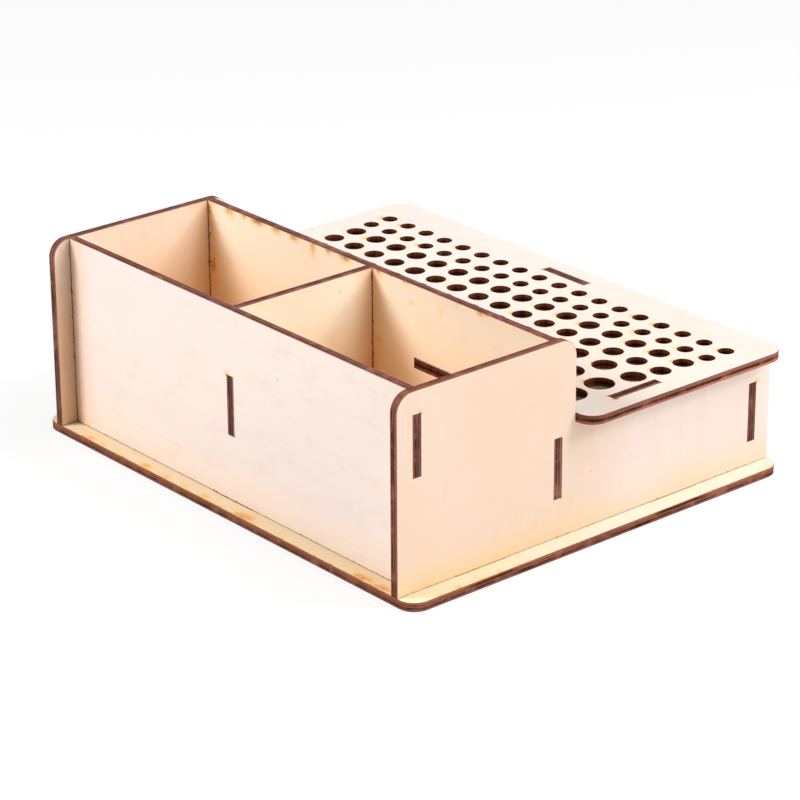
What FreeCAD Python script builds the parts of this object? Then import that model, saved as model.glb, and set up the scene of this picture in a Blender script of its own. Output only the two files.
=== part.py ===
import FreeCAD, Part
import os
import Sketcher

# Tool holder stand: eight laser-cut sheets of 4 mm plywood, held together by tabs in slots.
# A tall box with two bins stands at the front, with a low rack of tool holes behind it.
# Millimetres. X runs to the right, Y from front to back, Z up from the underside of the base.
# Each sub-part is one flat sheet: a closed outline with its tabs, padded, then cut with slots.

os.makedirs("parts", exist_ok=True)
doc = FreeCAD.newDocument("tool_holder_stand")

# Driving dimensions

SIZES = {
    "sheet": 4.0,             # thickness of the plywood
    "body_width": 234.0,      # over the outer faces of the two side panels
    "side_margin": 9.0,       # base plate and hole plate stick out this far past a side panel
    "depth": 211.0,           # front edge to rear edge of base, side panels and hole plate
    "corner": 8.0,            # radius of every rounded outer corner
    "bin_height": 87.0,       # bin walls and the tall part of the side panels, above the base
    "rack_height": 49.5,      # rear panel and the low part of the side panels, above the base
    "tall_length": 96.0,      # front edge to the step in a side panel
    "setback": 8.5,           # front and rear panel stand in from the ends of the side panels
    "bin_length": 72.0,       # clear inside a bin, front to back
    "tab_length": 26.6,
    "tab_depth": 3.9,         # a tab stops just short of the far face of the sheet it goes through
    "slot_length": 27.0,
    "slot_width": 4.2,
    "tilt_room": 0.5,         # above the hole plate's tongues, so that they tilt into their slots
    "play": 0.1,              # gap between the hole plate and the tall part of the stand
    "front_tab_up": 63.4,     # middle of the front panel's end tabs, above the base
    "wall_tab_up": 31.3,      # middle of the bin rear wall's end tabs
    "rear_tab_up": 24.5,      # middle of the rear panel's end tabs
    "foot_tab_front": 44.4,   # middle of a side panel's first tab into the base, from the front edge
    "foot_tab_rear": 153.5,   # and of its second one
    "rack_tab_along": 131.6,  # middle of a side panel's tab up into the hole plate
    "tongue_offset": 43.0,    # middle of a tongue of the hole plate, from the stand's middle
}

# Rows of tool holes from the back to the front: name, diameter, number of holes, end holes' distance
# from the side panels' outer faces, row's distance from the stand's front edge.
HOLE_ROWS = (
    ("row_a", 7.0, 18, 6.5, 190.0),
    ("row_b", 7.0, 18, 6.5, 178.5),
    ("row_c", 9.0, 16, 9.2, 167.0),
    ("row_d", 9.0, 16, 9.2, 153.7),
    ("row_e", 11.0, 13, 12.1, 140.5),
    ("row_f", 13.0, 12, 16.1, 124.7),
    ("row_g", 15.0, 11, 16.1, 107.6),
)

cells = dict(SIZES)
for name, *values in HOLE_ROWS:
    for what, value in zip(("diameter", "count", "end", "along"), values):
        cells[f"{name}_{what}"] = value

sizes = doc.addObject("Spreadsheet::Sheet", "Sizes")
for line, (alias, value) in enumerate(cells.items(), start=1):
    sizes.set(f"A{line}", alias)
    sizes.set(f"B{line}", str(value))
    sizes.setAlias(f"B{line}", alias)
doc.recompute()

# Lengths that several sheets share, as expressions on the spreadsheet

SHEET = "Sizes.sheet"
ROUND = "Sizes.corner"
OUTER = "(Sizes.body_width / 2)"
INNER = "(Sizes.body_width / 2 - Sizes.sheet)"
SIDE_MIDDLE = "(Sizes.body_width / 2 - Sizes.sheet / 2)"
PLATE_HALF = "(Sizes.body_width / 2 + Sizes.side_margin)"
PLATE_NECK = "(Sizes.body_width / 2 - Sizes.sheet - Sizes.play)"
BIN_TOP = "Sizes.bin_height"
RACK_TOP = "Sizes.rack_height"
BIN_MIDDLE = "(Sizes.bin_height / 2)"
HALF_SHEET = "(Sizes.sheet / 2)"
FRONT_FACE = "Sizes.setback"
FRONT_BACK = "(Sizes.setback + Sizes.sheet)"
BIN_HALFWAY = "(Sizes.setback + Sizes.sheet + Sizes.bin_length / 2)"
WALL_FACE = "(Sizes.setback + Sizes.sheet + Sizes.bin_length)"
WALL_BACK = "(Sizes.setback + 2 * Sizes.sheet + Sizes.bin_length)"
REAR_FACE = "(Sizes.depth - Sizes.setback - Sizes.sheet)"
LONG = "Sizes.slot_length"
NARROW = "Sizes.slot_width"


def value_of(expression):
    """Value of an expression on the spreadsheet."""
    value = sizes.evalExpression(expression)
    return float(getattr(value, "Value", value))


def new_body(label, x, y, z):
    """A body whose place in the stand is bound to the spreadsheet; y counts from the front edge."""
    body = doc.addObject("PartDesign::Body", label)
    body.Label = label
    body.setExpression("Placement.Base.x", x)
    body.setExpression("Placement.Base.y", f"{y} - Sizes.depth / 2")
    body.setExpression("Placement.Base.z", z)
    return body


def new_sketch(body, role, name):
    """An empty sketch on one of the body's own origin planes."""
    sketch = body.newObject("Sketcher::SketchObject", f"{body.Label}_{name}")
    plane = next(feature for feature in body.Origin.OriginFeatures if feature.Role == role)
    sketch.AttachmentSupport = (plane, [""])
    sketch.MapMode = "FlatFace"
    sketch.Visibility = False
    return sketch


def bind(sketch, kind, places, expression):
    """Add a dimension to a sketch and bind it to the spreadsheet."""
    index = sketch.addConstraint(Sketcher.Constraint(kind, *places, value_of(expression)))
    sketch.setExpression(f"Constraints[{index}]", expression)


def outline(sketch, steps):
    """Draw a closed outline of upright and level edges in turn, clockwise from its left edge.

    A step is the place of one edge, or a pair of that and the radius of the corner at its end.
    """
    steps = [step if isinstance(step, tuple) else (step, None) for step in steps]
    count = len(steps)
    at = [value_of(place) for place, radius in steps]
    radii = [value_of(radius) if radius else 0.0 for place, radius in steps]
    corners = []
    for i in range(count):
        j = (i + 1) % count
        x, y = (at[i], at[j]) if i % 2 == 0 else (at[j], at[i])
        corners.append(FreeCAD.Vector(x, y, 0))
    ahead = [(corners[i] - corners[i - 1]).normalize() for i in range(count)]
    edges = []
    for i in range(count):
        start = corners[i - 1] + ahead[i] * radii[i - 1]
        end = corners[i] - ahead[i] * radii[i]
        edges.append(sketch.addGeometry(Part.LineSegment(start, end), False))
        upright = i % 2 == 0
        sketch.addConstraint(Sketcher.Constraint("Vertical" if upright else "Horizontal", edges[i]))
    for i in range(count):
        j = (i + 1) % count
        if radii[i] == 0:
            sketch.addConstraint(Sketcher.Constraint("Coincident", edges[i], 2, edges[j], 1))
            continue
        start = corners[i] - ahead[i] * radii[i]
        end = corners[i] + ahead[j] * radii[i]
        centre = start + ahead[j] * radii[i]
        middle = centre + (corners[i] - centre).normalize() * radii[i]
        arc = sketch.addGeometry(Part.Arc(start, middle, end), False)
        sketch.addConstraint(Sketcher.Constraint("Tangent", edges[i], 2, arc, 2))
        sketch.addConstraint(Sketcher.Constraint("Tangent", arc, 1, edges[j], 1))
        bind(sketch, "Radius", (arc,), steps[i][1])
    for i in range(count):
        bind(sketch, "DistanceX" if i % 2 == 0 else "DistanceY", (-1, 1, edges[i], 1), steps[i][0])


def tab(side, middle, edge):
    """Steps of a tab that stands out of one side of an outline, and that side again after it."""
    outward, first, last = {"top": "+-+", "right": "++-", "bottom": "-+-", "left": "--+"}[side]
    return [
        f"{middle} {first} Sizes.tab_length / 2", f"{edge} {outward} Sizes.tab_depth",
        f"{middle} {last} Sizes.tab_length / 2", edge]


def slot(sketch, x, y, width, height):
    """Draw a slot's rectangle around a point."""
    outline(sketch, [
        f"{x} - {width} / 2", f"{y} + {height} / 2", f"{x} + {width} / 2", f"{y} - {height} / 2"])


def pad(body, sketch, backward=False):
    """Give an outline the plywood's thickness."""
    feature = body.newObject("PartDesign::Pad", f"{body.Label}_blank")
    feature.Profile = sketch
    feature.Reversed = backward
    feature.setExpression("Length", SHEET)
    return feature


def pocket(body, sketch, name, backward=False):
    """Cut a sketch's slots or holes through the sheet."""
    feature = body.newObject("PartDesign::Pocket", f"{body.Label}_{name}")
    feature.Profile = sketch
    feature.Type = "ThroughAll"
    feature.Reversed = backward
    return feature


def base_plate():
    """Sheet that everything stands on, with a slot for each bottom tab."""
    body = new_body("base_plate", "0", "0", "0")
    sketch = new_sketch(body, "XY_Plane", "outline")
    outline(sketch, [(f"-{PLATE_HALF}", ROUND), ("Sizes.depth", ROUND), (PLATE_HALF, ROUND), ("0", ROUND)])
    pad(body, sketch)
    slots = new_sketch(body, "XY_Plane", "slots")
    for side in ("-", ""):
        for along in ("Sizes.foot_tab_front", "Sizes.foot_tab_rear"):
            slot(slots, f"{side}{SIDE_MIDDLE}", along, NARROW, LONG)
    for face in (FRONT_FACE, WALL_FACE, REAR_FACE):
        slot(slots, "0", f"({face} + {HALF_SHEET})", LONG, NARROW)
    slot(slots, "0", BIN_HALFWAY, NARROW, LONG)
    pocket(body, slots, "slots", backward=True)


def side_panel(label, x):
    """Stepped sheet at one end: tall beside the bins and low beside the rack."""
    body = new_body(label, x, "0", SHEET)
    sketch = new_sketch(body, "YZ_Plane", "outline")
    outline(sketch, [
        ("0", ROUND), (BIN_TOP, ROUND), "Sizes.tall_length", RACK_TOP,
        *tab("top", "Sizes.rack_tab_along", RACK_TOP), "Sizes.depth", "0",
        *tab("bottom", "Sizes.foot_tab_rear", "0"), *tab("bottom", "Sizes.foot_tab_front", "0")])
    pad(body, sketch)
    slots = new_sketch(body, "YZ_Plane", "slots")
    slot(slots, f"({FRONT_FACE} + {HALF_SHEET})", "Sizes.front_tab_up", NARROW, LONG)
    slot(slots, f"({WALL_FACE} + {HALF_SHEET})", "Sizes.wall_tab_up", NARROW, LONG)
    slot(slots, f"({REAR_FACE} + {HALF_SHEET})", "Sizes.rear_tab_up", NARROW, LONG)
    pocket(body, slots, "slots", backward=True)


def cross_sheet(label, face, top, tab_up, top_tab=False):
    """Sheet across the stand between the side panels, with its tabs; returns its body."""
    body = new_body(label, "0", face, SHEET)
    sketch = new_sketch(body, "XZ_Plane", "outline")
    outline(sketch, [
        f"-{INNER}", *tab("left", tab_up, f"-{INNER}"), top,
        *(tab("top", "0", top) if top_tab else []),
        INNER, *tab("right", tab_up, INNER), "0", *tab("bottom", "0", "0")])
    pad(body, sketch, backward=True)
    return body


def front_panel():
    """Front of the bins, with a slot for the divider."""
    body = cross_sheet("front_panel", FRONT_FACE, BIN_TOP, "Sizes.front_tab_up")
    slots = new_sketch(body, "XZ_Plane", "slots")
    slot(slots, "0", BIN_MIDDLE, NARROW, LONG)
    pocket(body, slots, "slots")


def bin_rear_wall():
    """Wall between the bins and the rack, with slots for the divider and the hole plate."""
    body = cross_sheet("bin_rear_wall", WALL_FACE, BIN_TOP, "Sizes.wall_tab_up")
    slots = new_sketch(body, "XZ_Plane", "slots")
    slot(slots, "0", BIN_MIDDLE, NARROW, LONG)
    for side in ("-", ""):
        middle = f"{side}Sizes.tongue_offset"
        outline(slots, [
            f"{middle} - {LONG} / 2", f"{RACK_TOP} + {SHEET} + Sizes.tilt_room",
            f"{middle} + {LONG} / 2", f"{RACK_TOP} - Sizes.play"])
    pocket(body, slots, "slots")


def rear_panel():
    """Back of the rack, with a tab up into the hole plate."""
    cross_sheet("rear_panel", REAR_FACE, RACK_TOP, "Sizes.rear_tab_up", top_tab=True)


def bin_divider():
    """Wall between the two bins, with a tab at each end."""
    body = new_body("bin_divider", f"-{HALF_SHEET}", FRONT_BACK, SHEET)
    sketch = new_sketch(body, "YZ_Plane", "outline")
    outline(sketch, [
        "0", *tab("left", BIN_MIDDLE, "0"), BIN_TOP,
        "Sizes.bin_length", *tab("right", BIN_MIDDLE, "Sizes.bin_length"), "0",
        *tab("bottom", "Sizes.bin_length / 2", "0")])
    pad(body, sketch)


def hole_plate():
    """Top of the rack: two tongues at the front, three slots for tabs, and the graded tool holes."""
    body = new_body("hole_plate", "0", "0", f"{SHEET} + {RACK_TOP}")
    sketch = new_sketch(body, "XY_Plane", "outline")
    wing = "(Sizes.tall_length + Sizes.play)"
    neck = f"({WALL_BACK} + Sizes.play)"
    outline(sketch, [
        (f"-{PLATE_HALF}", ROUND), ("Sizes.depth", ROUND), (PLATE_HALF, ROUND), wing, PLATE_NECK, neck,
        *tab("bottom", "Sizes.tongue_offset", neck), *tab("bottom", "-Sizes.tongue_offset", neck),
        f"-{PLATE_NECK}", (wing, ROUND)])
    pad(body, sketch)
    slots = new_sketch(body, "XY_Plane", "slots")
    for side in ("-", ""):
        slot(slots, f"{side}{SIDE_MIDDLE}", "Sizes.rack_tab_along", NARROW, LONG)
    slot(slots, "0", f"({REAR_FACE} + {HALF_SHEET})", LONG, NARROW)
    pocket(body, slots, "slots", backward=True)
    for name, *_ in HOLE_ROWS:
        hole_row(body, name)


def hole_row(body, row):
    """One row of equal tool holes: the first is cut, the others are its pattern."""
    sketch = new_sketch(body, "XY_Plane", row)
    radius = value_of(f"Sizes.{row}_diameter") / 2
    first = f"Sizes.{row}_end - {OUTER}"
    centre = FreeCAD.Vector(value_of(first), value_of(f"Sizes.{row}_along"), 0)
    hole = sketch.addGeometry(Part.Circle(centre, FreeCAD.Vector(0, 0, 1), radius), False)
    bind(sketch, "Diameter", (hole,), f"Sizes.{row}_diameter")
    bind(sketch, "DistanceX", (-1, 1, hole, 3), first)
    bind(sketch, "DistanceY", (-1, 1, hole, 3), f"Sizes.{row}_along")
    cut = pocket(body, sketch, f"{row}_first_hole", backward=True)
    pattern = body.newObject("PartDesign::LinearPattern", f"{body.Label}_{row}_pattern")
    pattern.Originals = [cut]
    pattern.Direction = (sketch, ["H_Axis"])
    pattern.setExpression("Length", f"Sizes.body_width - 2 * Sizes.{row}_end")
    pattern.setExpression("Occurrences", f"Sizes.{row}_count")
    body.Tip = pattern


base_plate()
side_panel("left_side_panel", f"-{OUTER}")
side_panel("right_side_panel", INNER)
front_panel()
bin_rear_wall()
rear_panel()
bin_divider()
hole_plate()
doc.recompute()

# Check the document, then write one STEP file for each sheet

for item in doc.Objects:
    if "Invalid" in item.State or "Error" in item.State:
        raise RuntimeError(f"{item.Label} did not compute: {item.State}")
    if item.isDerivedFrom("Sketcher::SketchObject") and not (item.solve() == 0 and item.FullyConstrained):
        raise RuntimeError(f"{item.Label} is not fully constrained")

for body in doc.findObjects("PartDesign::Body"):
    solid = body.Shape
    if not solid.isValid() or len(solid.Solids) != 1:
        raise RuntimeError(f"{body.Label} is not one valid solid")
    solid.exportStep(os.path.join("parts", f"{body.Label}.step"))
    print(f"{body.Label}: {solid.Volume / 1000:.2f} cm3")
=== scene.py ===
import logging
import math
from collections.abc import Iterable, Mapping, Sequence
from dataclasses import dataclass
from enum import Enum
from functools import reduce
from typing import Protocol

import bpy
from mathutils import Matrix, Vector


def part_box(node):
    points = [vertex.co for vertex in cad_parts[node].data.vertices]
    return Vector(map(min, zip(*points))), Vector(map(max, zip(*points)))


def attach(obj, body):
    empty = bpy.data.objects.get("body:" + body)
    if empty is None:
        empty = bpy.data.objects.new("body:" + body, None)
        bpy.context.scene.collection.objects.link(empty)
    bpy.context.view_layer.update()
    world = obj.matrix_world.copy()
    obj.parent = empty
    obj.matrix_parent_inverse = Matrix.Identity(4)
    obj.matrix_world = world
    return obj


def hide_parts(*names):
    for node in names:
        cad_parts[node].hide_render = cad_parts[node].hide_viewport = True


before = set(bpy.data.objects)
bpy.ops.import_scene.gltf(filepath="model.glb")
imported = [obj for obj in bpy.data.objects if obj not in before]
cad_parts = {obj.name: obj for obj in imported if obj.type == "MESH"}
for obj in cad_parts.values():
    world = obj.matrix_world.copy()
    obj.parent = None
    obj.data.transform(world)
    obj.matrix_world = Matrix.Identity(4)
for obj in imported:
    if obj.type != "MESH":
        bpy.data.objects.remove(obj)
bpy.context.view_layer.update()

# Tool holder stand of laser-cut plywood. Each packed sheet is built again as the same flat shape
# with fine arrises, and gets a pale veneer on its faces, charred plies on its cut edges and smoke
# stains where the laser burned hardest, with painted light and shade inside the bins, near the
# joints and in the tool holes. Sizes and places in the finishes are in millimetres of the
# row frame, and bare colours are linear.

log = logging.getLogger("tool_holder_stand")

Colour = tuple[float, float, float]
MM = 0.001
TINY = 0.01  # keeps a reach that is divided by above zero
SQUARE_ON = 0.99  # least part of its normal that a sheet's own face has along the sheet's axis
WELD_DIGITS = 7  # corners that agree to so many digits, in metres, are the same
WHITE = (1.0, 1.0, 1.0, 1.0)


def srgb(red: int, green: int, blue: int) -> Colour:
    """Turn a colour as seen on a screen into the linear one that shaders take.

    Args:
        red: Red, from 0 to 255.
        green: Green, from 0 to 255.
        blue: Blue, from 0 to 255.

    Returns:
        The linear red, green and blue.
    """
    def linear(value: int) -> float:
        """Linear value of one channel."""
        share = value / 255
        return share / 12.92 if share <= 0.04045 else ((share + 0.055) / 1.055) ** 2.4

    return linear(red), linear(green), linear(blue)


def into_scene(name: str, data: bpy.types.ID) -> bpy.types.Object:
    """Put a new object with this data into the scene."""
    made = bpy.data.objects.new(name, data)
    bpy.context.scene.collection.objects.link(made)
    return made


class Signal:
    """A number, colour or vector on its way through a material's nodes, with operators."""

    def __init__(self, graph: "Graph", socket: bpy.types.NodeSocket) -> None:
        """Wrap an output socket of a node tree."""
        self.graph = graph
        self.socket = socket

    def __add__(self, other: "Signal | float") -> "Signal":
        """Sum."""
        return self.graph.math("ADD", self, other)

    def __sub__(self, other: "Signal | float") -> "Signal":
        """Difference."""
        return self.graph.math("SUBTRACT", self, other)

    def __mul__(self, other: "Signal | float") -> "Signal":
        """Product."""
        return self.graph.math("MULTIPLY", self, other)

    def __truediv__(self, other: "Signal | float") -> "Signal":
        """Quotient."""
        return self.graph.math("DIVIDE", self, other)

    def __abs__(self) -> "Signal":
        """Size without its sign."""
        return self.graph.math("ABSOLUTE", self)

    def __gt__(self, other: "Signal | float") -> "Signal":
        """One where this is the greater, and zero elsewhere."""
        return self.graph.math("GREATER_THAN", self, other)

    def __lt__(self, other: "Signal | float") -> "Signal":
        """One where this is the smaller, and zero elsewhere."""
        return self.graph.math("LESS_THAN", self, other)

    def __rsub__(self, other: float) -> "Signal":
        """Difference from a number."""
        return self.graph.math("SUBTRACT", other, self)

    def higher(self, other: "Signal | float") -> "Signal":
        """The greater of two values."""
        return self.graph.math("MAXIMUM", self, other)

    def lower(self, other: "Signal | float") -> "Signal":
        """The smaller of two values."""
        return self.graph.math("MINIMUM", self, other)

    def rounded(self) -> "Signal":
        """The nearest whole number."""
        return self.graph.math("ROUND", self)

    def ramp(self, start: float, end: float) -> "Signal":
        """Ease from 0 at one value to 1 at another.

        Args:
            start: The value where the result is 0; it may be the greater of the two.
            end: The value where the result is 1.

        Returns:
            The eased share, kept between 0 and 1.
        """
        return self.graph.node(
            "ShaderNodeMapRange", {"interpolation_type": "SMOOTHSTEP"},
            {"Value": self, "From Min": start, "From Max": end})


class Graph:
    """The node tree of one material or world."""

    def __init__(self, owner: "bpy.types.Material | bpy.types.World") -> None:
        """Clear the node tree of a material or world."""
        owner.use_nodes = True
        self.tree = owner.node_tree
        self.tree.nodes.clear()

    def node(self, kind: str, settings: Mapping[str, object] | None = None,
             inputs: "Mapping[str | int, Signal | float | tuple] | None" = None,
             output: str | int = 0) -> Signal:
        """Add a node.

        Args:
            kind: The node's type.
            settings: Its properties, set before its sockets.
            inputs: What each input socket, by name or number, is linked or set to.
            output: The output socket that is wanted.

        Returns:
            The signal from that socket.
        """
        node = self.tree.nodes.new(kind)
        for name, value in (settings or {}).items():
            setattr(node, name, value)
        for name, value in (inputs or {}).items():
            if isinstance(value, Signal):
                self.tree.links.new(value.socket, node.inputs[name])
            else:
                node.inputs[name].default_value = value
        return Signal(self, node.outputs[output] if len(node.outputs) else None)

    def math(self, operation: str, *values: "Signal | float") -> Signal:
        """Result of a Math node that works on the values in order."""
        return self.node("ShaderNodeMath", {"operation": operation}, dict(enumerate(values)))

    def blend(self, under: "Signal | Colour", over: "Signal | Colour", share: "Signal | float",
              how: str = "MIX") -> Signal:
        """Lay one colour over another.

        Args:
            under: The colour below.
            over: The colour on top.
            share: How far the upper one covers, from 0 to 1.
            how: The Mix node's way of blending.

        Returns:
            The mixed colour.
        """
        factor, lower, upper, mixed = 0, 6, 7, 2
        colours = {lower: under, upper: over}
        ready = {k: v if isinstance(v, Signal) else (*v, 1.0) for k, v in colours.items()}
        return self.node("ShaderNodeMix", {"data_type": "RGBA", "blend_type": how},
                         {factor: share, **ready}, output=mixed)

    def noise(self, place: Signal, stretch: tuple[float, float, float], detail: float,
              roughness: float = 0.5) -> Signal:
        """Smooth noise with a different grain size along each axis.

        Args:
            place: The point in millimetres.
            stretch: Size of the noise's patches along X, Y and Z, in millimetres.
            detail: Number of finer layers.
            roughness: Strength of the finer layers.

        Returns:
            Noise from 0 to 1, mostly near a half.
        """
        scaled = self.node("ShaderNodeVectorMath", {"operation": "DIVIDE"}, {0: place, 1: stretch})
        return self.node("ShaderNodeTexNoise", None,
                         {"Vector": scaled, "Scale": 1.0, "Detail": detail, "Roughness": roughness})

    def distance(self, across: Signal, along: Signal) -> Signal:
        """Length of a flat vector with these two parts."""
        flat = self.node("ShaderNodeCombineXYZ", None, {0: across, 1: along})
        return self.node("ShaderNodeVectorMath", {"operation": "LENGTH"}, {0: flat}, output="Value")


class Axis(Enum):
    """An axis of the row frame."""

    RIGHT = 0
    BACK = 1
    UP = 2

    @property
    def others(self) -> tuple["Axis", "Axis"]:
        """The two axes square to this one, in order."""
        first, second = (axis for axis in Axis if axis is not self)
        return first, second


class Side(Enum):
    """Which of a sheet's two faces a mark is on, by the direction of its normal."""

    PLUS = 1
    MINUS = -1
    BOTH = 0


@dataclass(frozen=True)
class StandSizes:
    """Driving sizes of the stand in millimetres.

    Lengths named "along" count from the stand's front edge, heights named "up" from the bench.
    """

    sheet: float = 4.0
    width: float = 234.0
    margin: float = 9.0
    depth: float = 211.0
    setback: float = 8.5
    bin_length: float = 72.0
    bin_top: float = 91.0
    slot_length: float = 27.0
    front_tab_up: float = 67.4
    wall_tab_up: float = 35.3
    rear_tab_up: float = 28.5
    divider_tab_up: float = 47.5
    rack_tab_along: float = 131.6

    def back(self, along: float) -> float:
        """Turn a length from the stand's front edge into a place on Y."""
        return along - self.depth / 2

    @property
    def front_face(self) -> float:
        """Front of the front panel, on Y."""
        return self.back(self.setback)

    @property
    def wall_face(self) -> float:
        """Front of the bin rear wall, on Y."""
        return self.front_face + self.sheet + self.bin_length

    @property
    def rear_face(self) -> float:
        """Front of the rear panel, on Y."""
        return self.back(self.depth - self.setback - self.sheet)

    @property
    def inner(self) -> float:
        """Inner face of the right side panel, on X."""
        return self.width / 2 - self.sheet

    @property
    def outer(self) -> float:
        """Outer face of the right side panel, on X."""
        return self.width / 2

    @property
    def rim(self) -> float:
        """Right edge of the base plate, on X."""
        return self.outer + self.margin


@dataclass(frozen=True)
class Fade:
    """Eases from nothing at one value to full strength at another, which may be the smaller."""

    start: float
    end: float
    strength: float = 1.0

    def of(self, value: Signal) -> Signal:
        """Strength at a value."""
        eased = value.ramp(self.start, self.end)
        return eased if self.strength == 1.0 else eased * self.strength


@dataclass(frozen=True)
class Figure:
    """Noise that runs with the veneer's grain, with its patches' sizes in millimetres."""

    along: float
    across: float
    detail: float
    roughness: float = 0.5
    shows: tuple[float, float] = (0.5, 0.8)

    def noise(self, surface: "Surface") -> Signal:
        """Noise on a sheet, from 0 to 1 and mostly near a half."""
        sizes = surface.stretch(self.along, self.across)
        return surface.graph.noise(surface.own, sizes, self.detail, self.roughness)

    def share(self, surface: "Surface", strength: float = 1.0) -> Signal:
        """How strongly the noise shows on a sheet."""
        return Fade(*self.shows, strength).of(self.noise(surface))


BANDS = Figure(90.0, 3.2, 3.0, 0.6)
FIBRES = Figure(9.0, 0.35, 2.0, 0.6, shows=(0.5, 0.85))
BLOTCHES = Figure(15.0, 9.0, 3.0, 0.65, shows=(0.5, 0.72))
CLOUDS = Figure(84.0, 42.0, 2.0, shows=(0.35, 0.65))
FEATHERS = Figure(5.0, 1.1, 3.0, 0.7)
WOBBLE = Figure(1.4, 0.5, 2.0)


class Surface:
    """Where a shaded point lies on one sheet: along its two faces and through its thickness."""

    FACES_UP = Fade(0.9, 0.99)
    SEED_STEPS = (137.0, 71.0, 193.0)
    PATCH_ROUGHNESS = 0.6

    def __init__(self, graph: Graph, normal: Axis, middle: float, grain: Axis, seed: float) -> None:
        """Read the point's place and the way that it faces.

        Args:
            graph: The sheet's material.
            normal: The axis square to the sheet's faces.
            middle: Middle of the sheet's thickness on that axis, in millimetres.
            grain: The axis that the face veneer's grain runs along.
            seed: A number of the sheet's own, so that no two sheets have the same figure.
        """
        self.graph = graph
        self.normal = normal
        self.grain = grain
        metres = graph.node("ShaderNodeTexCoord", output="Object")
        place = graph.node("ShaderNodeVectorMath", {"operation": "SCALE"},
                           {0: metres, "Scale": 1 / MM})
        self.on = {axis: graph.node("ShaderNodeSeparateXYZ", None, {0: place}, output=axis.value)
                   for axis in Axis}
        facing = graph.node("ShaderNodeNewGeometry", output="True Normal")
        towards = graph.node("ShaderNodeSeparateXYZ", None, {0: facing}, output=normal.value)
        first, second = normal.others
        self.a = self.on[first]
        self.b = self.on[second]
        self.through = (self.on[normal] - middle) / StandSizes.sheet + 0.5
        self.on_face = self.FACES_UP.of(abs(towards))
        self.sides = {Side.PLUS: towards > 0.5, Side.MINUS: towards < -0.5}
        self.own = graph.node("ShaderNodeVectorMath", {"operation": "ADD"},
                              {0: place, 1: tuple(seed * step for step in self.SEED_STEPS)})
        self.feather = FEATHERS.noise(self) - 0.5

    def stretch(self, along: float, across: float) -> tuple[float, float, float]:
        """Sizes on X, Y and Z of noise with these sizes along and across the grain."""
        x, y, z = (along if axis is self.grain else across for axis in Axis)
        return x, y, z

    def patches(self, size: float, detail: float = 3.0) -> Signal:
        """Noise from 0 to 1 with patches of the same size, in millimetres, each way."""
        return self.graph.noise(self.own, (size, size, size), detail, self.PATCH_ROUGHNESS)

    def only(self, side: Side, amount: Signal) -> Signal:
        """The amount on one face of the sheet, or on both, and zero elsewhere."""
        return amount if side is Side.BOTH else amount * self.sides[side]


class Mark(Protocol):
    """Something that the laser's smoke leaves on a face."""

    def smoke(self, surface: Surface) -> Signal:
        """How strongly the smoke shows at a point.

        Args:
            surface: The sheet's surface.

        Returns:
            Smoke from 0 to 1.
        """


@dataclass(frozen=True)
class Stain:
    """A soft blotch of smoke, such as the one where the laser went in, or a small knot.

    Its place is on the sheet's two face axes, in order, and its shape stretches it along them.
    """

    a: float
    b: float
    reach: float
    strength: float
    side: Side = Side.PLUS
    shape: tuple[float, float] = (1.0, 1.0)
    ragged: float = 1.6

    def smoke(self, surface: Surface) -> Signal:
        """How strongly the stain shows at a point, from 0 to 1."""
        wide, tall = self.shape
        away = surface.graph.distance((surface.a - self.a) / wide, (surface.b - self.b) / tall)
        away = away + surface.feather * (self.reach * self.ragged)
        return surface.only(self.side, Fade(self.reach, 0.0, self.strength).of(away))


@dataclass(frozen=True)
class SmokedCut:
    """Uneven smoke along one straight cut."""

    axis: Axis
    at: float
    reach: float
    strength: float
    side: Side = Side.PLUS
    patch: float = 9.0
    bare: float = 0.5
    full: float = 0.8

    def smoke(self, surface: Surface) -> Signal:
        """How strongly the smoke shows at a point, from 0 to 1."""
        away = abs(surface.on[self.axis] - self.at)
        reach = Fade(self.bare, self.full, self.reach).of(surface.patches(self.patch))
        near = (1.0 - away / reach.higher(TINY)).higher(0.0)
        return surface.only(self.side, near * self.strength)


@dataclass(frozen=True)
class Halo:
    """Smoke on one side of a hole: its bearing in degrees, longest reach and strength."""

    bearing: float
    reach: float
    strength: float
    least: float = 0.8
    shows: Fade = Fade(0.05, 0.85)

    def smoke(self, graph: Graph, across: Signal, along: Signal, radius: float,
              luck: Signal) -> Signal:
        """How strongly the halo shows at a point.

        Args:
            graph: The hole plate's material.
            across: Way from the hole's middle on X.
            along: Way from the hole's middle on Y.
            radius: The hole's radius.
            luck: How much smoke this hole got here, from 0 to 1.

        Returns:
            Smoke from 0 to 1.
        """
        turn = math.radians(self.bearing)
        away = graph.distance(across - radius * math.cos(turn), along - radius * math.sin(turn))
        near = (1.0 - away / (luck * self.reach + self.least)).higher(0.0)
        return near * self.shows.of(luck) * self.strength


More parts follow.
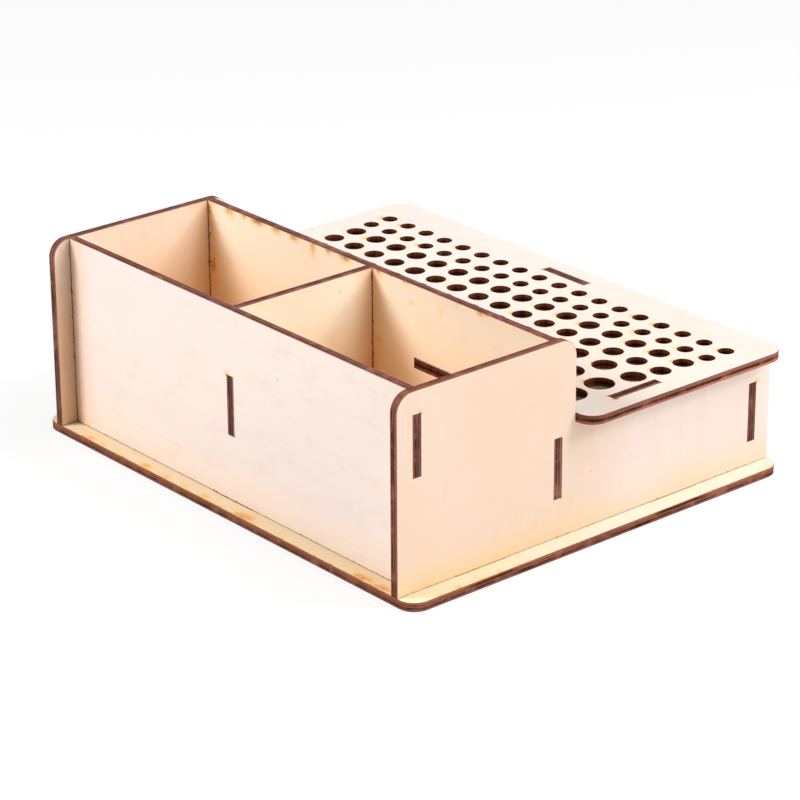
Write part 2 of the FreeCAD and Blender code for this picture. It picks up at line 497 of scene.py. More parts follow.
@dataclass(frozen=True)
class HoleRow:
    """One row of tool holes in the hole plate, smoked where the laser entered and left each.

    The end counts from a side panel's outer face to the nearest hole's middle.
    """

    diameter: float
    count: int
    end: float
    along: float
    entry: Halo = Halo(205.0, 4.0, 0.74)
    leaving: Halo = Halo(10.0, 2.8, 0.5)
    rim: Fade = Fade(0.8, 0.0, 0.2)
    luck_step: float = 0.37

    def smoke(self, surface: Surface) -> Signal:
        """How strongly the smoke shows round the row's holes, from 0 to 1."""
        graph = surface.graph
        sizes = StandSizes()
        first = self.end - sizes.outer
        pitch = -2 * first / (self.count - 1)
        number = ((surface.a - first) / pitch).rounded().higher(0.0).lower(self.count - 1.0)
        across = surface.a - number * pitch - first
        along = surface.b - sizes.back(self.along)
        radius = self.diameter / 2
        luck = graph.node("ShaderNodeTexWhiteNoise", {"noise_dimensions": "1D"},
                          {"W": number * self.luck_step + self.along}, output="Value")
        entered = self.entry.smoke(graph, across, along, radius, luck)
        left = self.leaving.smoke(graph, across, along, radius, 1.0 - luck)
        rim = self.rim.of(graph.distance(across, along) - radius)
        return entered.higher(left).higher(rim)


@dataclass(frozen=True)
class Seam:
    """A joint with another sheet: a thin charred line, and painted shade that darkens the face
    towards it, standing in for the shade in the corner.

    The painted shade falls on both sides of the joint, or on the lee side alone, and the line
    swells with noise.
    """

    axis: Axis
    at: float
    side: Side
    line: float = 0.42
    # Reach in millimetres, strength and colour of the painted shade.
    painted_shade: float = 10.0
    depth: float = 0.5
    shade_tint: Colour = (0.97, 0.65, 0.39)
    char: Colour = srgb(92, 42, 14)
    lee: Side = Side.BOTH
    patch: float = 2.6
    swelling: Fade = Fade(0.5, 0.75, 1.3)
    thinnest: float = 0.6
    dark: Fade = Fade(1.15, 0.75, 0.85)

    def over(self, surface: Surface, colour: Signal) -> Signal:
        """Lay the painted shade and the charred line over the veneer.

        Args:
            surface: The sheet's surface.
            colour: The veneer's colour.

        Returns:
            The darkened colour.
        """
        graph = surface.graph
        past = surface.on[self.axis] - self.at
        away = abs(past)
        # Painted shade, deepest at the joint and gone at its reach.
        painted_shade = Fade(self.painted_shade, 0.0, self.depth).of(away)
        if self.lee is not Side.BOTH:
            painted_shade = painted_shade * (past * self.lee.value > 0.0)
        colour = graph.blend(colour, self.shade_tint, surface.only(self.side, painted_shade), "MULTIPLY")
        width = (self.swelling.of(surface.patches(self.patch)) + self.thinnest) * self.line
        return graph.blend(colour, self.char, surface.only(self.side, self.dark.of(away / width)))


@dataclass(frozen=True)
class Veneer:
    """Pale face veneer with a faint figure, warmer at one end where a drift is given."""

    pale: Colour = srgb(223, 211, 196)
    warm: Colour = srgb(221, 200, 177)
    fibre: Colour = srgb(196, 160, 122)
    pore: Colour = srgb(140, 102, 70)
    figure: float = 0.08
    mottle: float = 0.06
    drift: tuple[Axis, float, float] | None = None
    drift_share: float = 0.8
    pore_depth: float = 0.55
    pore_spread: tuple[float, float] = (44.0, 21.0)
    pore_wobble: float = 0.03
    pore_rim: Fade = Fade(0.04, 0.026)

    def colour(self, surface: Surface) -> Signal:
        """Colour of the bare veneer."""
        graph = surface.graph
        warmth = CLOUDS.share(surface)
        if self.drift:
            axis, pale_at, warm_at = self.drift
            drift = Fade(pale_at, warm_at, self.drift_share).of(surface.on[axis])
            warmth = drift + warmth * (1.0 - self.drift_share)
        colour = graph.blend(self.pale, self.warm, warmth)
        layers = ((BANDS, self.figure), (FIBRES, self.figure), (BLOTCHES, self.mottle))
        for layer, strength in layers:
            colour = graph.blend(colour, self.fibre, layer.share(surface, strength))
        return graph.blend(colour, self.pore, self.pores(surface) * self.pore_depth)

    def pores(self, surface: Surface) -> Signal:
        """One inside the sparse dark pores and zero elsewhere."""
        graph = surface.graph
        cells = graph.node("ShaderNodeVectorMath", {"operation": "DIVIDE"},
                           {0: surface.own, 1: surface.stretch(*self.pore_spread)})
        spot = graph.node("ShaderNodeTexVoronoi", None, {"Vector": cells, "Scale": 1.0},
                          output="Distance")
        return self.pore_rim.of(spot + WOBBLE.noise(surface) * self.pore_wobble)


REARWARD = Veneer(pale=srgb(226, 211, 198), warm=srgb(230, 206, 180))


@dataclass(frozen=True)
class Scorch:
    """A streak along one ply of a cut edge, where the laser burned it nearly black."""

    axis: Axis
    at: float
    half: float
    level: float
    strength: float = 0.9
    steady: float = 0.6
    patch: float = 3.0
    wander: float = 0.12
    height: Fade = Fade(0.26, 0.12)

    def burn(self, surface: Surface, depth: Signal) -> Signal:
        """How strongly the streak shows at a point.

        Args:
            surface: The sheet's surface.
            depth: Share of the sheet's thickness, wandering as the plies do.

        Returns:
            Burn from 0 to 1.
        """
        along = Fade(self.half, self.half * self.steady).of(abs(surface.on[self.axis] - self.at))
        thin = self.height.of(abs(depth - self.level) + surface.patches(self.patch) * self.wander)
        return along * thin * self.strength


@dataclass(frozen=True)
class CharredEdge:
    """Laser-cut edge: three plies and their glue lines, browned by the heat.

    Heights are shares of the sheet's thickness. The wave, patches and stripes are sizes of noise,
    and the fades say how strongly such a noise, or the rim, shows.
    """

    upper: Colour = srgb(142, 88, 68)
    core: Colour = srgb(124, 72, 58)
    lower: Colour = srgb(132, 80, 63)
    glue: Colour = srgb(42, 16, 12)
    ash: Colour = srgb(172, 118, 96)
    # Painted shade multiplied over the edges inside the deep tool holes.
    hole_shade: Colour = (0.54, 0.39, 0.24)
    glue_at: tuple[float, float] = (0.32, 0.68)
    lines: tuple[float, float] = (0.9, 0.75)
    line_reach: float = 0.115
    line_core: float = 0.4
    scorches: tuple[Scorch, ...] = ()
    wave: float = 16.0
    wander: float = 0.2
    blur: float = 0.04
    patch: float = 6.0
    ashen: Fade = Fade(0.5, 0.75, 0.3)
    charred: Fade = Fade(0.75, 0.4)
    soot_patch: float = 46.0
    sooty: Fade = Fade(0.52, 0.66, 0.3)
    rim: Fade = Fade(0.44, 0.5, 0.4)
    striped: Fade = Fade(0.5, 0.8, 0.25)
    stripe: float = 0.3
    # Laser streaks drawn darker inside the tool holes, as part of their painted shade.
    well_stripe: float = 1.3
    well_striped: Fade = Fade(0.45, 0.65)
    well_depth: float = 0.6

    def colour(self, surface: Surface) -> Signal:
        """Colour of the edge."""
        graph = surface.graph
        low, high = self.glue_at
        waves = surface.patches(self.wave, detail=1.5)
        depth = surface.through + waves * self.wander - self.wander / 2
        colour = graph.blend(self.lower, self.core, depth.ramp(low - self.blur, low + self.blur))
        colour = graph.blend(colour, self.upper, depth.ramp(high - self.blur, high + self.blur))
        char = surface.patches(self.patch)
        colour = graph.blend(colour, self.ash, self.ashen.of(char))
        for level, strength in zip(self.glue_at, self.lines):
            across = Fade(self.line_reach, self.line_reach * self.line_core, strength)
            line = across.of(abs(depth - level)) * self.charred.of(char)
            colour = graph.blend(colour, self.glue, line)
        for scorch in self.scorches:
            colour = graph.blend(colour, self.glue, scorch.burn(surface, depth))
        darkest = (self.sooty.of(surface.patches(self.soot_patch, detail=1.0)),
                   self.rim.of(abs(surface.through - 0.5)),
                   self.striped.of(self.stripes(surface, self.stripe)))
        for share in darkest:
            colour = graph.blend(colour, self.glue, share)
        return colour

    def stripes(self, surface: Surface, width: float) -> Signal:
        """Noise of the lines, of a width in millimetres, that the laser leaves across the edge."""
        x, y, z = (3 * StandSizes.sheet if axis is surface.normal else width for axis in Axis)
        return surface.graph.noise(surface.own, (x, y, z), detail=1.0)

    def shade_holes(self, surface: Surface, colour: Signal, half_width: float, rear: float) -> Signal:
        """Darken the edge's colour inside the field of tool holes: painted shade of the deep holes,
        streaked with the laser's stripes.

        Args:
            surface: The hole plate's surface.
            colour: The edge's colour.
            half_width: Half the width of the field of holes.
            rear: Its rear end, on Y.

        Returns:
            The edge's colour, darker inside the field.
        """
        graph = surface.graph
        inside = (abs(surface.a) < half_width) * (surface.b < rear)
        colour = graph.blend(colour, self.hole_shade, inside, "MULTIPLY")
        streaks = self.well_striped.of(self.stripes(surface, self.well_stripe))
        return graph.blend(colour, self.glue, inside * streaks * self.well_depth)


@dataclass(frozen=True)
class Smoke:
    """Stain that laser smoke leaves on the veneer, from a yellow halo to a brown heart."""

    halo: Colour = srgb(242, 204, 132)
    tan: Colour = srgb(196, 128, 66)
    burn: Colour = srgb(100, 54, 28)
    patch: float = 2.2
    uneven: float = 0.9
    least: float = 0.55
    shows: tuple[Fade, Fade, Fade] = (
        Fade(0.02, 0.4, 0.55), Fade(0.3, 0.8, 0.75), Fade(0.75, 1.0, 0.85))

    def over(self, surface: Surface, colour: Signal, amount: Signal) -> Signal:
        """Lay the stain over the veneer.

        Args:
            surface: The sheet's surface.
            colour: The veneer's colour.
            amount: How strong the smoke is, from 0 to 1.

        Returns:
            The stained colour.
        """
        ragged = amount * (surface.patches(self.patch) * self.uneven + self.least)
        for tone, shows in zip((self.halo, self.tan, self.burn), self.shows):
            colour = surface.graph.blend(colour, tone, shows.of(ragged))
        return colour


@dataclass(frozen=True)
class Sheet:
    """One sheet of plywood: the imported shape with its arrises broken, and its finish.

    Where one face has a veneer of its own, that face and its veneer are the reverse.
    """

    node: str
    normal: Axis
    grain: Axis
    seed: float
    veneer: Veneer = Veneer()
    reverse: tuple[Side, Veneer] | None = None
    marks: Sequence[Mark] = ()
    seams: Sequence[Seam] = ()
    hole_field: tuple[float, float] | None = None
    edge: CharredEdge = CharredEdge()
    smoke: Smoke = Smoke()
    arris: float = 0.15
    sharp_angle: float = 30.0
    edge_roughness: float = 0.82
    face_roughness: float = 0.6
    fibre_relief: float = 0.35
    relief: float = 0.05
    relief_shows: float = 0.5
    gloss: float = 0.05

    def outlines(self) -> list[list[tuple[float, float]]]:
        """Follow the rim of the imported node's flat face round the sheet and its cut-outs.

        Returns:
            One list of flat points in metres for each closed outline.
        """
        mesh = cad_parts[self.node].data
        first, second = (axis.value for axis in self.normal.others)
        points = [tuple(round(c, WELD_DIGITS) for c in vertex.co) for vertex in mesh.vertices]
        rim: set[tuple] = set()
        for polygon in mesh.polygons:
            if polygon.normal[self.normal.value] < SQUARE_ON:
                continue
            ring = [points[i] for i in polygon.vertices]
            for start, end in zip(ring, ring[1:] + ring[:1]):
                if (end, start) in rim:
                    rim.remove((end, start))
                else:
                    rim.add((start, end))
        after = dict(sorted(rim))
        outlines = []
        while after:
            start, here = after.popitem()
            outline = [start]
            while here != start:
                outline.append(here)
                here = after.pop(here)
            outlines.append([(point[first], point[second]) for point in outline])
        return outlines

    def blank(self, thickness: float) -> bpy.types.Mesh:
        """Cut the outlines out of a flat blank whose arrises are broken.

        Args:
            thickness: Thickness of the sheet, in metres.

        Returns:
            The blank's mesh, lying flat round the origin's height.
        """
        curve = bpy.data.curves.new(self.node, "CURVE")
        curve.dimensions = "2D"
        curve.fill_mode = "BOTH"
        for outline in self.outlines():
            spline = curve.splines.new("POLY")
            spline.points.add(len(outline) - 1)
            for point, (across, along) in zip(spline.points, outline):
                point.co = (across, along, 0.0, 1.0)
            spline.use_cyclic_u = True
        curve.extrude = thickness / 2 - self.arris * MM
        curve.bevel_depth = self.arris * MM
        curve.bevel_resolution = 0
        curve.offset = -self.arris * MM
        shape = into_scene(self.node, curve)
        bpy.context.view_layer.update()
        ready = shape.evaluated_get(bpy.context.evaluated_depsgraph_get())
        mesh = bpy.data.meshes.new_from_object(ready)
        bpy.data.objects.remove(shape)
        return mesh

    def build(self) -> bpy.types.Object:
        """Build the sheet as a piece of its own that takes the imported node's place.

        Returns:
            The piece.
        """
        low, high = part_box(self.node)
        index = self.normal.value
        middle = (low[index] + high[index]) / 2
        mesh = self.blank(high[index] - low[index])
        mesh.transform(self.standing(middle))
        mesh.shade_smooth()
        mesh.set_sharp_from_angle(angle=math.radians(self.sharp_angle))
        mesh.materials.clear()
        mesh.materials.append(self.material(middle / MM))
        piece = into_scene(f"{self.node}_sheet", mesh)
        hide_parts(self.node)
        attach(piece, "root")
        return piece

    def standing(self, middle: float) -> Matrix:
        """Matrix that stands the flat blank up where the sheet is.

        Args:
            middle: Middle of the sheet's thickness, in metres.

        Returns:
            The matrix from the flat blank to the row frame.
        """
        first, second = self.normal.others
        across, along, place = Vector(), Vector(), Vector()
        across[first.value] = 1.0
        along[second.value] = 1.0
        place[self.normal.value] = middle
        turn = Matrix((across, along, across.cross(along))).transposed()
        return Matrix.Translation(place) @ turn.to_4x4()

    def material(self, middle: float) -> bpy.types.Material:
        """Make the sheet's material.

        Args:
            middle: Middle of the sheet's thickness on its normal axis, in millimetres.

        Returns:
            The material.
        """
        made = bpy.data.materials.new(f"{self.node}_plywood")
        graph = Graph(made)
        surface = Surface(graph, self.normal, middle, self.grain, self.seed)
        face = self.veneer.colour(surface)
        if self.reverse:
            side, veneer = self.reverse
            face = graph.blend(face, veneer.colour(surface), surface.sides[side])
        # Painted shade towards the joints, with their charred lines.
        for seam in self.seams:
            face = seam.over(surface, face)
        if self.marks:
            smoke = reduce(Signal.higher, (mark.smoke(surface) for mark in self.marks))
            face = self.smoke.over(surface, face, smoke)
        cut = self.edge.colour(surface)
        # Painted shade on the edges inside the tool holes.
        if self.hole_field:
            cut = self.edge.shade_holes(surface, cut, *self.hole_field)
        lines = self.edge.stripes(surface, self.edge.stripe) * (1.0 - surface.on_face)
        height = lines + FIBRES.noise(surface) * surface.on_face * self.fibre_relief
        bump = graph.node("ShaderNodeBump", None, {
            "Strength": self.relief_shows, "Distance": self.relief * MM, "Height": height})
        smoother = self.edge_roughness - self.face_roughness
        shader = graph.node("ShaderNodeBsdfPrincipled", None, {
            "Base Color": graph.blend(cut, face, surface.on_face),
            "Roughness": self.edge_roughness - surface.on_face * smoother,
            "Normal": bump, "Specular IOR Level": self.gloss})
        graph.node("ShaderNodeOutputMaterial", None, {"Surface": shader})
        return made


@dataclass(frozen=True)
class Spot:
    """A stain on a cut: its place along the cut, reach, strength and length against its width."""

    at: float
    reach: float
    strength: float
    wide: float = 1.0


@dataclass(frozen=True)
class Base:
    """The base plate, yellowed by smoke where it shows in front of and beside the stand."""

    sizes: StandSizes = StandSizes()
    veneer: Veneer = Veneer(pale=srgb(222, 217, 200), warm=srgb(236, 211, 175), mottle=0.12,
                            drift=(Axis.BACK, 10.0, -100.0))
    edge: CharredEdge = CharredEdge(
        upper=srgb(146, 91, 66), core=srgb(134, 82, 64), lower=srgb(118, 72, 58),
        glue_at=(0.36, 0.68), lines=(0.95, 0.5),
        scorches=(Scorch(Axis.BACK, -63.0, 15.0, 0.72), Scorch(Axis.BACK, 44.0, 18.0, 0.78),
                  Scorch(Axis.BACK, 20.0, 8.0, 0.3), Scorch(Axis.BACK, -42.0, 7.0, 0.2, 0.6)))
    smoke: Smoke = Smoke(halo=srgb(246, 206, 134), tan=srgb(222, 154, 84), burn=srgb(190, 118, 58))
    streaks: tuple[Spot, ...] = (
        Spot(-94.3, 5.0, 0.62, 1.8), Spot(-84.8, 4.0, 0.5, 1.8), Spot(-72.0, 3.6, 0.44, 2.0),
        Spot(-53.6, 5.0, 0.7, 1.7), Spot(-38.1, 4.4, 0.56, 1.7), Spot(-25.5, 3.8, 0.48, 1.7),
        Spot(-11.8, 4.6, 0.6, 1.8), Spot(2.5, 3.4, 0.42, 1.6), Spot(16.1, 6.4, 0.86, 2.1),
        Spot(92.4, 5.4, 0.84, 2.1), Spot(105.4, 5.4, 0.78, 1.9))
    tufts: tuple[Spot, ...] = (
        Spot(-90.8, 4.4, 0.62), Spot(-79.7, 4.8, 0.74), Spot(-67.7, 4.6, 0.6, 2.0),
        Spot(-57.7, 4.4, 0.66), Spot(-48.5, 4.0, 0.5))
    inset: float = 2.2
    squeeze: float = 0.8

    def plate(self) -> Sheet:
        """The base plate."""
        front = self.sizes.back(0.0)
        rim = self.sizes.rim
        streaks = [Stain(spot.at, front + self.inset, spot.reach, spot.strength, ragged=1.2,
                         shape=(spot.wide, self.squeeze)) for spot in self.streaks]
        tufts = [Stain(rim, spot.at, spot.reach, spot.strength,
                       shape=(1.0, self.squeeze * spot.wide)) for spot in self.tufts]
        cuts = [SmokedCut(Axis.BACK, front, reach=4.2, strength=0.85, patch=6.0, bare=0.4),
                SmokedCut(Axis.RIGHT, rim, reach=2.0, strength=0.6, patch=6.0)]
        return Sheet("base_plate", Axis.UP, Axis.RIGHT, seed=8.0, veneer=self.veneer,
                     edge=self.edge, smoke=self.smoke, marks=[*streaks, *tufts, *cuts])

    def sheets(self) -> list[Sheet]:
        """The one sheet."""
        return [self.plate()]


@dataclass(frozen=True)
class BinBox:
    """The two bins: front panel, rear wall, divider and the tall side panels."""

    sizes: StandSizes = StandSizes()
    # Painted light and shade: the inner veneers are lighter than the outer ones, and darker and
    # more orange towards the bins' floors, to stand in for the light in the bins.
    inside: Veneer = Veneer(pale=srgb(246, 230, 210), warm=srgb(245, 209, 168),
                            drift=(Axis.UP, 86.0, 46.0))
    left_inside: Veneer = Veneer(pale=srgb(243, 221, 203), warm=srgb(244, 203, 163),
                                 drift=(Axis.UP, 86.0, 46.0))
    outside: Veneer = Veneer(pale=srgb(226, 212, 205), warm=srgb(240, 219, 202), mottle=0.1,
                             drift=(Axis.UP, 34.0, 2.0))
    flank: Veneer = Veneer(pale=srgb(222, 205, 197), warm=srgb(216, 190, 169),
                           drift=(Axis.BACK, 30.0, -20.0))
    edge: CharredEdge = CharredEdge(
        upper=srgb(142, 98, 88), core=srgb(138, 90, 80), lower=srgb(140, 92, 78),
        glue_at=(0.28, 0.7), line_reach=0.165, scorches=(
            Scorch(Axis.RIGHT, 25.0, 62.0, 0.35, 0.4), Scorch(Axis.UP, 54.0, 28.0, 0.52, 0.5),
            Scorch(Axis.BACK, -57.0, 38.0, 0.45, 0.4)))
    flank_edge: CharredEdge = CharredEdge(
        upper=srgb(136, 88, 72), core=srgb(122, 72, 60), lower=srgb(118, 72, 60),
        glue_at=(0.24, 0.64), scorches=(
            Scorch(Axis.UP, 66.0, 15.0, 0.5, 0.75), Scorch(Axis.BACK, 26.1, 14.0, 0.3, 0.7)))
    drips: tuple[Spot, ...] = (
        Spot(-98.0, 6.0, 0.74, 0.8), Spot(-95.3, 7.0, 0.6, 0.45), Spot(-86.8, 3.8, 0.8),
        Spot(-77.0, 4.8, 0.9, 1.8), Spot(-63.8, 4.8, 0.74, 1.6), Spot(-51.2, 5.4, 0.8, 1.3),
        Spot(-38.0, 12.0, 0.68, 0.35), Spot(-27.7, 4.4, 0.74), Spot(-16.1, 4.8, 0.86, 1.5),
        Spot(6.0, 5.0, 0.66, 0.8), Spot(14.6, 1.1, 1.2), Spot(25.0, 4.6, 0.42, 0.8),
        Spot(57.0, 5.0, 0.4, 0.7), Spot(71.0, 4.2, 0.66, 1.3))
    front_knots: tuple[Stain, ...] = (
        Stain(-54.6, 81.4, 1.6, 0.3, Side.MINUS), Stain(-112.6, 56.6, 1.3, 1.2, Side.MINUS),
        Stain(-13.6, 4.3, 0.8, 1.3, Side.MINUS), Stain(13.3, 4.3, 0.8, 1.3, Side.MINUS))
    wall_knots: tuple[Stain, ...] = (
        Stain(-109.2, 63.8, 0.9, 1.2, Side.MINUS), Stain(-112.0, 61.9, 1.1, 1.2, Side.MINUS),
        Stain(-111.8, 75.4, 1.0, 1.2, Side.MINUS), Stain(-112.4, 50.0, 1.0, 1.1, Side.MINUS),
        Stain(-110.4, 66.0, 0.6, 1.0, Side.MINUS), Stain(27.6, 82.5, 3.2, 0.34, Side.MINUS),
        Stain(46.2, 83.9, 3.4, 0.3, Side.MINUS))
    wall_blotches: tuple[Stain, ...] = (
        Stain(-110.2, 60.0, 6.4, 0.72, Side.MINUS, (0.75, 1.1), ragged=0.4),
        Stain(6.0, 59.5, 5.6, 0.46, Side.MINUS, ragged=0.4),
        Stain(-112.0, 89.0, 6.0, 0.6, Side.MINUS, (0.7, 1.6)))
    divider_knots: tuple[Stain, ...] = (Stain(-38.8, 84.1, 1.0, 1.1), Stain(-48.0, 79.0, 0.6, 0.6))
    flank_knots: tuple[Stain, ...] = (Stain(-0.3, 28.9, 1.2, 0.62), Stain(63.8, 7.4, 0.7, 0.62))

    def front_panel(self) -> Sheet:
        """Front of the bins."""
        slot_top = self.sizes.divider_tab_up + self.sizes.slot_length / 2
        slot_bottom = slot_top - self.sizes.slot_length
        slot = [Stain(-2.1, slot_top, 3.2, 0.75, Side.MINUS),
                Stain(1.8, slot_bottom, 1.6, 0.5, Side.MINUS)]
        # Painted shadow on the front face beside the left panel, a millimetre of painted shade
        # above the base, and charred joint lines.
        seams = [Seam(Axis.RIGHT, -self.sizes.inner, Side.MINUS, painted_shade=18.0, depth=0.55),
                 Seam(Axis.UP, self.sizes.sheet, Side.MINUS, line=0.55, painted_shade=1.0, depth=0.2)]
        return Sheet("front_panel", Axis.BACK, Axis.RIGHT, seed=1.0, veneer=self.outside,
                     reverse=(Side.PLUS, self.inside), edge=self.edge,
                     marks=[*slot, *self.front_knots], seams=seams)

    def rear_wall(self) -> Sheet:
        """Wall between the bins and the rack."""
        top = self.sizes.bin_top
        drips = [Stain(spot.at, top, spot.reach, spot.strength, Side.MINUS, (spot.wide, 1.0),
                       ragged=0.7) for spot in self.drips]
        cut = SmokedCut(Axis.UP, top, reach=3.4, strength=0.66, side=Side.MINUS, patch=6.0)
        # Painted shade in the bins' corners at the left panel and the divider, with charred joint
        # lines.
        seams = [Seam(Axis.RIGHT, -self.sizes.inner, Side.MINUS, line=0.8),
                 Seam(Axis.RIGHT, self.sizes.sheet / 2, Side.MINUS, line=0.7)]
        return Sheet("bin_rear_wall", Axis.BACK, Axis.RIGHT, seed=2.0, veneer=self.inside,
                     reverse=(Side.PLUS, REARWARD), edge=self.edge,
                     marks=[*drips, *self.wall_knots, *self.wall_blotches, cut], seams=seams)

    def divider(self) -> Sheet:
        """Wall between the two bins."""
        # Painted shade on the divider's right face towards its corner with the rear wall.
        wall = Seam(Axis.BACK, self.sizes.wall_face, Side.PLUS, painted_shade=13.0, depth=0.65,
                    shade_tint=(0.86, 0.6, 0.37), lee=Side.MINUS)
        return Sheet("bin_divider", Axis.RIGHT, Axis.BACK, seed=3.0, veneer=self.inside,
                     edge=self.edge, marks=self.divider_knots, seams=[wall])

    def left_panel(self) -> Sheet:
        """Left side panel, whose inner face shows in the left bin and beside the front panel."""
        # Painted shade on the inner face towards the rear wall, and a deep painted shadow over the
        # strip in front of the front panel.
        seams = [Seam(Axis.BACK, self.sizes.wall_face, Side.PLUS, painted_shade=14.0, depth=0.6,
                      shade_tint=(0.88, 0.71, 0.52), lee=Side.MINUS),
                 Seam(Axis.BACK, self.sizes.front_face, Side.PLUS, line=0.4, painted_shade=14.0, depth=1.0,
                      shade_tint=(0.61, 0.56, 0.52), lee=Side.MINUS)]
        return Sheet("left_side_panel", Axis.RIGHT, Axis.UP, seed=4.0, veneer=self.left_inside,
                     reverse=(Side.MINUS, self.flank), edge=self.edge, seams=seams)

    def right_panel(self) -> Sheet:
        """Right side panel, with the end tabs of the cross sheets in its slots."""
        sizes = self.sizes
        half = sizes.slot_length / 2
        sheet = sizes.sheet
        slots = [Stain(sizes.front_face + sheet, sizes.front_tab_up + half, 2.4, 0.7),
                 Stain(sizes.front_face, sizes.front_tab_up - half, 1.8, 0.6),
                 Stain(sizes.wall_face + sheet, sizes.wall_tab_up - half, 2.4, 0.7),
                 Stain(sizes.wall_face + sheet, sizes.wall_tab_up + half, 1.8, 0.5),
                 Stain(sizes.rear_face + sheet, sizes.rear_tab_up + half, 2.8, 0.75)]
        foot = SmokedCut(Axis.UP, sheet, reach=34.0, strength=0.26, patch=40.0, bare=0.1)
        # A charred joint line at the base, with a millimetre of painted shade above it.
        base = Seam(Axis.UP, sheet, Side.PLUS, line=0.5, painted_shade=1.0, depth=0.2)
        return Sheet("right_side_panel", Axis.RIGHT, Axis.UP, seed=5.0, veneer=self.flank,
                     edge=self.flank_edge, marks=[*slots, *self.flank_knots, foot], seams=[base])

    def sheets(self) -> list[Sheet]:
        """The five sheets."""
        return [self.front_panel(), self.rear_wall(), self.divider(), self.left_panel(),
                self.right_panel()]


@dataclass(frozen=True)
class ToolRack:
    """The rack behind the bins: hole plate and rear panel."""

    sizes: StandSizes = StandSizes()
    top: Veneer = Veneer(pale=srgb(224, 215, 208), warm=srgb(224, 208, 198),
                         drift=(Axis.RIGHT, -60.0, 60.0))
    edge: CharredEdge = CharredEdge(upper=srgb(136, 86, 70), core=srgb(98, 56, 45),
                                    lower=srgb(166, 104, 84), glue_at=(0.36, 0.55))
    rear_edge: CharredEdge = CharredEdge(upper=srgb(116, 74, 66), core=srgb(104, 66, 62),
                                         lower=srgb(112, 70, 64))
    rows: tuple[HoleRow, ...] = (
        HoleRow(7.0, 18, 6.5, 190.0), HoleRow(7.0, 18, 6.5, 178.5),
        HoleRow(9.0, 16, 9.2, 167.0), HoleRow(9.0, 16, 9.2, 153.7),
        HoleRow(11.0, 13, 12.1, 140.5), HoleRow(13.0, 12, 16.1, 124.7),
        HoleRow(15.0, 11, 16.1, 107.6))
    behind_rows: float = 1.0

    def hole_plate(self) -> Sheet:
        """Top of the rack."""
        sizes = self.sizes
        half = sizes.slot_length / 2
        tab_front = sizes.back(sizes.rack_tab_along) - half
        rear = sizes.rear_face
        slots = [Stain(sizes.outer, tab_front, 3.4, 0.85), Stain(sizes.inner, tab_front, 2.4, 0.7),
                 Stain(-half, rear, 2.4, 0.7), Stain(half, rear + sizes.sheet, 1.8, 0.5)]
        # The field of tool holes, whose edges get painted shade.
        side_middle = sizes.outer - sizes.sheet / 2
        return Sheet("hole_plate", Axis.UP, Axis.RIGHT, seed=6.0, veneer=self.top, edge=self.edge,
                     marks=[*self.rows, *slots], hole_field=(side_middle, rear - self.behind_rows))

    def rear_panel(self) -> Sheet:
        """Back of the rack."""
        return Sheet("rear_panel", Axis.BACK, Axis.RIGHT, seed=7.0, veneer=REARWARD,
                     edge=self.rear_edge)

    def sheets(self) -> list[Sheet]:
        """The two sheets."""
        return [self.hole_plate(), self.rear_panel()]


@dataclass(frozen=True)
class Softbox:
    """A square studio lamp behind a diffuser, turned to the stand.

    Its bearing counts in degrees from the stand's front round by its right side.
    """

    name: str
    bearing: float
    elevation: float
    power: float
    size: float = 0.55
    distance: float = 1.5

    def build(self, target: Vector) -> None:
        """Hang the lamp and turn it to the target."""
        turn, lift = math.radians(self.bearing), math.radians(self.elevation)
        level = math.cos(lift)
        way = Vector((level * math.sin(turn), -level * math.cos(turn), math.sin(lift)))
        data = bpy.data.lights.new(self.name, "AREA")
        data.shape = "SQUARE"
        data.size = self.size
        data.energy = self.power
        lamp = into_scene(self.name, data)
        lamp.location = target + way * self.distance
        lamp.rotation_euler = (-way).to_track_quat("-Z", "Y").to_euler()


@dataclass(frozen=True)
class PhotoCamera:
    """The photograph's camera, in metres and degrees."""

    place: tuple[float, float, float] = (1.01184, -0.86551, 0.58633)
    azimuth: float = 49.5874
    elevation: float = -22.9229
    roll: float = -0.2919
    lens: float = 148.386
    sensor: float = 36.0

    def build(self) -> None:
        """Set the scene's camera."""
        angles = (self.azimuth, self.elevation, self.roll)
        turn, lift, roll = (math.radians(angle) for angle in angles)
        level = math.cos(lift)
        ahead = Vector((-math.sin(turn) * level, math.cos(turn) * level, math.sin(lift)))
        right = ahead.cross(Vector((0.0, 0.0, 1.0))).normalized()
        up = right.cross(ahead)
        across = right * math.cos(roll) + up * math.sin(roll)
        upward = up * math.cos(roll) - right * math.sin(roll)
        data = bpy.data.cameras.new("photo_camera")
        data.lens = self.lens
        data.sensor_width = self.sensor
        camera = into_scene("photo_camera", data)
        camera.matrix_world = (Matrix.Translation(self.place)
                               @ Matrix((across, upward, -ahead)).transposed().to_4x4())
        bpy.context.scene.camera = camera


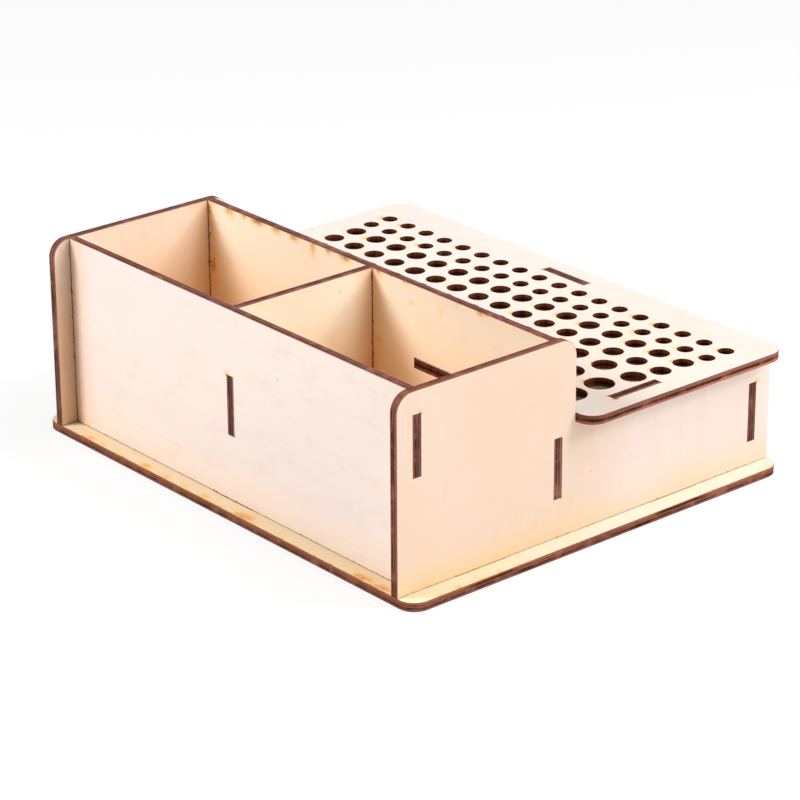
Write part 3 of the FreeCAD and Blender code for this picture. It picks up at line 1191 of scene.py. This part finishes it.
@dataclass(frozen=True)
class Studio:
    """White sweep, soft lamps and the camera."""

    floor_size: float = 8.0
    floor_white: Colour = (0.9, 0.9, 0.9)
    floor_glow: float = 0.8
    floor_gap: float = 0.0002
    daylight: float = 0.03
    target: tuple[float, float, float] = (0.0, 0.0, 0.04)
    camera: PhotoCamera = PhotoCamera()
    lamps: tuple[Softbox, ...] = (
        Softbox("front_left", 330.0, 35.0, 21.2),
        Softbox("low_right", 90.0, 12.0, 3.5),
        Softbox("right", 90.0, 35.0, 4.4),
        Softbox("back_right", 135.0, 35.0, 13.4),
        Softbox("high_right", 135.0, 60.0, 10.4))

    def build(self) -> None:
        """Build the floor, world, lamps and camera."""
        self.floor()
        self.surroundings()
        for lamp in self.lamps:
            lamp.build(Vector(self.target))
        self.camera.build()
        bpy.context.scene.view_settings.view_transform = "Standard"

    def seen_directly(self, graph: Graph) -> Signal:
        """One for camera, glossy and transmission rays and zero for the rest."""
        rays = [graph.node("ShaderNodeLightPath", output=f"Is {kind} Ray")
                for kind in ("Camera", "Glossy", "Transmission")]
        return reduce(Signal.higher, rays)

    def floor(self) -> None:
        """Lay a white floor that keeps the stand's shadow."""
        half = self.floor_size / 2
        mesh = bpy.data.meshes.new("floor")
        corners = [(-half, -half, 0.0), (half, -half, 0.0), (half, half, 0.0), (-half, half, 0.0)]
        mesh.from_pydata(corners, [], [(0, 1, 2, 3)])
        floor = into_scene("floor", mesh)
        floor.location.z = -self.floor_gap
        paint = bpy.data.materials.new("white_floor")
        graph = Graph(paint)
        diffuse = graph.node("ShaderNodeBsdfDiffuse", None, {"Color": (*self.floor_white, 1.0)})
        glow = graph.node("ShaderNodeEmission", None, {"Color": WHITE, "Strength": 1.0})
        seen = self.seen_directly(graph) * self.floor_glow
        shader = graph.node("ShaderNodeMixShader", None, {0: seen, 1: diffuse, 2: glow})
        graph.node("ShaderNodeOutputMaterial", None, {"Surface": shader})
        mesh.materials.append(paint)

    def surroundings(self) -> None:
        """White surroundings, dimmer where they only light the stand."""
        world = bpy.data.worlds.new("studio")
        bpy.context.scene.world = world
        graph = Graph(world)
        strength = self.seen_directly(graph) * (1.0 - self.daylight) + self.daylight
        sky = graph.node("ShaderNodeBackground", None, {"Color": WHITE, "Strength": strength})
        graph.node("ShaderNodeOutputWorld", None, {"Surface": sky})


def main() -> None:
    """Build the stand and the studio round it."""
    logging.basicConfig(level=logging.INFO, format="%(name)s: %(message)s")
    for part in (Base(), BinBox(), ToolRack()):
        for sheet in part.sheets():
            piece = sheet.build()
            log.info("%s built, %d faces", piece.name, len(piece.data.polygons))
    Studio().build()


if __name__ == "__main__":
    main()
